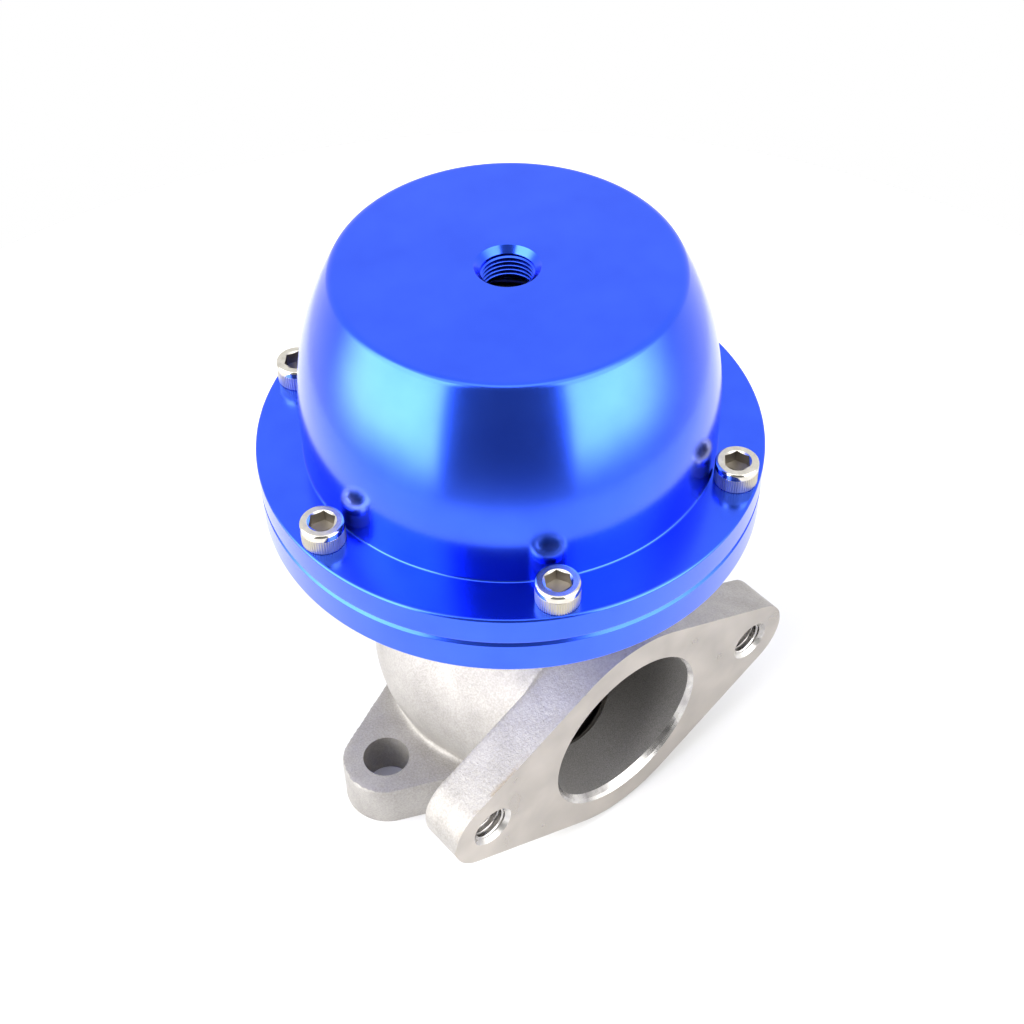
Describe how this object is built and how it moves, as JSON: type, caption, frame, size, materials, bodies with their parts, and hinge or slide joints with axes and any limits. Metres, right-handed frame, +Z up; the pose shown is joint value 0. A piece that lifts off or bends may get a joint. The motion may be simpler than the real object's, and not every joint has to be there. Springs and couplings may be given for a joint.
{
  "type": "turbo wastegate",
  "caption": "External turbo wastegate: cast two-bolt valve body with a poppet valve, under a round anodised diaphragm actuator with threaded pressure ports.",
  "frame": {"origin": "centre of the inlet flange face, on the valve axis, at the bottom of the object", "axes": "+Z up the valve stem to the actuator cap, -Y out of the outlet, X along both flanges' bolt lines"},
  "size_m": [0.102, 0.102, 0.131],
  "materials": {
    "cast_stainless": "fine bead-blasted casting with machined faces",
    "seat_steel": "turned",
    "guide_bronze": "turned",
    "gasket_sheet": "matt graphite sheet",
    "blue_anodised": "satin turned and anodised blue",
    "screw_steel": "bright nickel-like plating with a knurled head",
    "base_screw_steel": "black oxide",
    "seal_polymer": "smooth",
    "retainer_steel": "turned",
    "diaphragm_rubber": "fabric-reinforced rubber",
    "valve_steel": "turned and ground",
    "plate_aluminium": "turned",
    "piston_aluminium": "turned",
    "nut_steel": "zinc plated",
    "spring_steel": "shot-peened wire"
  },
  "bodies": {
    "housing": {"valve_body": "cast_stainless", "valve_seat_ring": "seat_steel", "valve_guide": "guide_bronze", "neck_gasket": "gasket_sheet", "actuator_base": "blue_anodised", "stem_seal": "seal_polymer", "seal_retainer": "retainer_steel", "diaphragm": "diaphragm_rubber", "actuator_cap": "blue_anodised", "outer_spring": "spring_steel", "inner_spring": "spring_steel", "base_screw_1": "base_screw_steel", "base_screw_2": "base_screw_steel", "base_screw_3": "base_screw_steel", "base_screw_4": "base_screw_steel", "cap_screw_1": "screw_steel", "cap_screw_2": "screw_steel", "cap_screw_3": "screw_steel", "cap_screw_4": "screw_steel", "cap_screw_5": "screw_steel", "cap_screw_6": "screw_steel"},
    "valve_train": {"poppet_valve": "valve_steel", "diaphragm_plate": "plate_aluminium", "spring_piston": "piston_aluminium", "stem_washer": "nut_steel", "stem_nut": "nut_steel"}
  },
  "joints": [
    {"name": "valve_lift", "type": "slide", "parent": "housing", "child": "valve_train", "axis": [0, 0, 1], "range_m": [0, 0.009], "stiffness_N_per_m": 5200, "springref_m": -0.017, "deforming": ["outer_spring", "inner_spring", "diaphragm"]}
  ]
}
